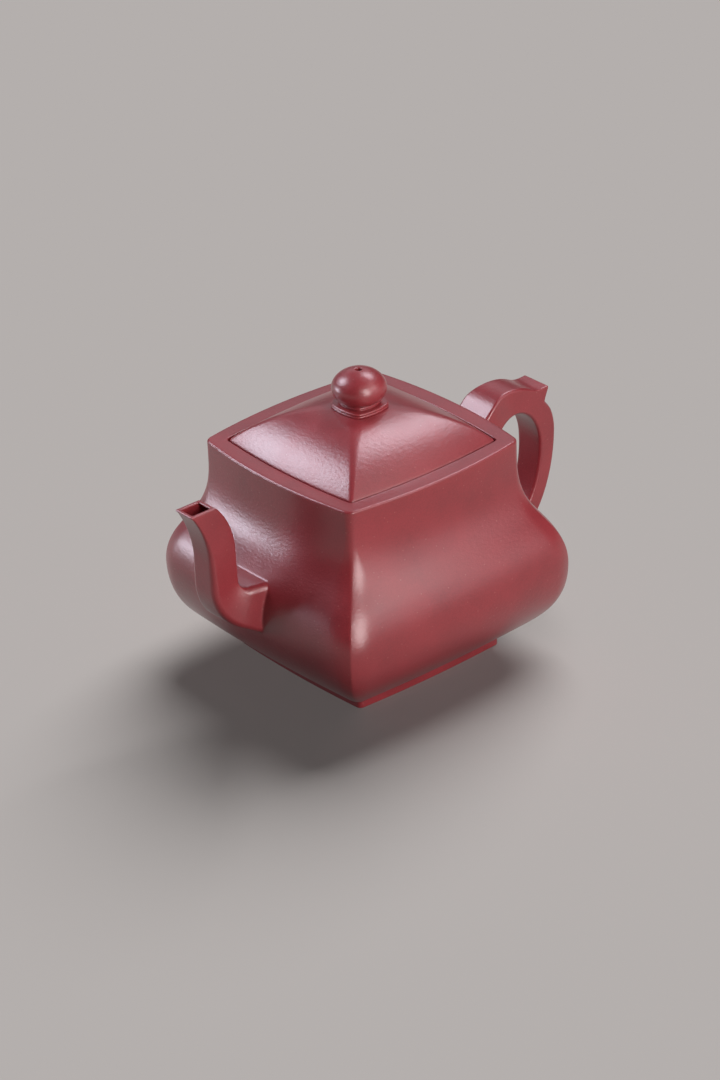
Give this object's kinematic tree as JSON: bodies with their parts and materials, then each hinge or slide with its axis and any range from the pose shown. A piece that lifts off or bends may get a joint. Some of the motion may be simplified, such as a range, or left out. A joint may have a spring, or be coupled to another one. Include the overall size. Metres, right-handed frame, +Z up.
{
  "type": "square clay teapot",
  "caption": "Square teapot of unglazed purple-red clay with a bellied body, inset hipped lid with a knob, square spout and arched handle; the lid lifts off.",
  "frame": {"origin": "centre of the foot's underside", "axes": "+Z up, spout towards -X, handle towards +X, the pourer's left towards -Y"},
  "size_m": [0.1351, 0.091, 0.0892],
  "materials": {
    "pot_clay": "unglazed, burnished satin with a fine sandy grain",
    "lid_clay": "unglazed, burnished satin with a fine sandy grain",
    "inner_clay": "unglazed, matt"
  },
  "bodies": {
    "pot": {"foot": "pot_clay", "floor_slab": "pot_clay", "spout_wall": "pot_clay", "handle_wall": "pot_clay", "left_wall": "pot_clay", "right_wall": "pot_clay", "lid_seat": "pot_clay", "mouth_frame": "pot_clay", "strainer": "inner_clay", "spout_front_slab": "pot_clay", "spout_back_slab": "pot_clay", "spout_left_cheek": "pot_clay", "spout_right_cheek": "pot_clay", "handle": "pot_clay", "thumb_rest": "pot_clay"},
    "lid": {"lid_cover": "lid_clay", "lid_flange": "inner_clay", "knob_base": "lid_clay", "knob_collar": "lid_clay", "knob": "lid_clay"}
  },
  "joints": [
    {"name": "lid_lift", "type": "slide", "parent": "pot", "child": "lid", "axis": [0, 0, 1], "range_m": [0, 0.06]}
  ]
}
